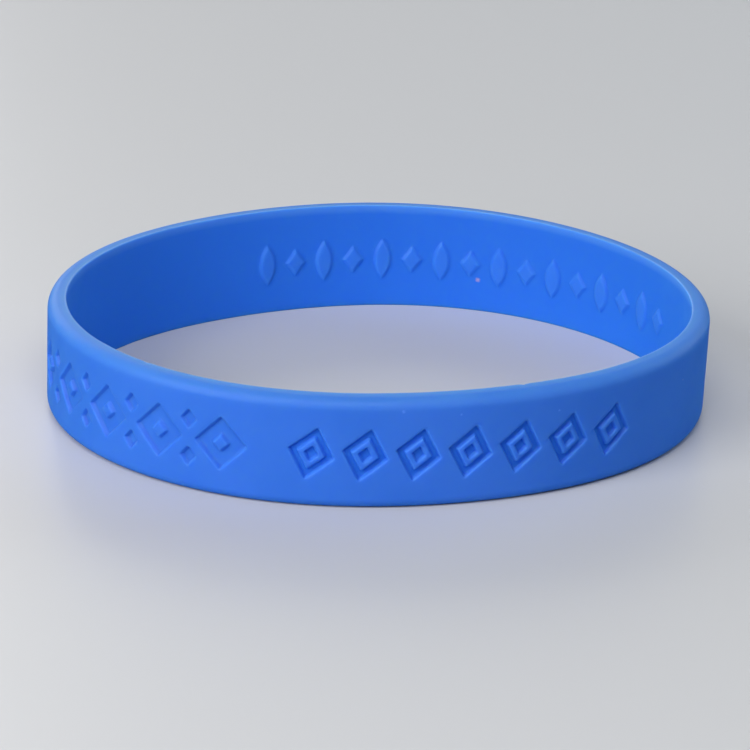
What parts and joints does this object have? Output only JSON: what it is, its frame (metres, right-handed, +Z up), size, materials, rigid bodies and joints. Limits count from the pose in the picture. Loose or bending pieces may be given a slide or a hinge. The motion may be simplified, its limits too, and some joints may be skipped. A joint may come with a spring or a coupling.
{
  "type": "silicone wristband",
  "caption": "Closed moulded silicone wristband lying on its edge, with sunken diamond motifs outside and low raised motifs inside.",
  "frame": {"origin": "on the surface the band rests on, under the middle of the loop's outer size", "axes": "+Z up through the wrist opening, -Y towards the side with the outer motifs, +X to the right seen from that side"},
  "size_m": [0.0714, 0.0615, 0.012],
  "materials": {
    "silicone": "satin blue silicone rubber"
  },
  "bodies": {
    "root": {"wristband": "silicone"}
  },
  "joints": []
}
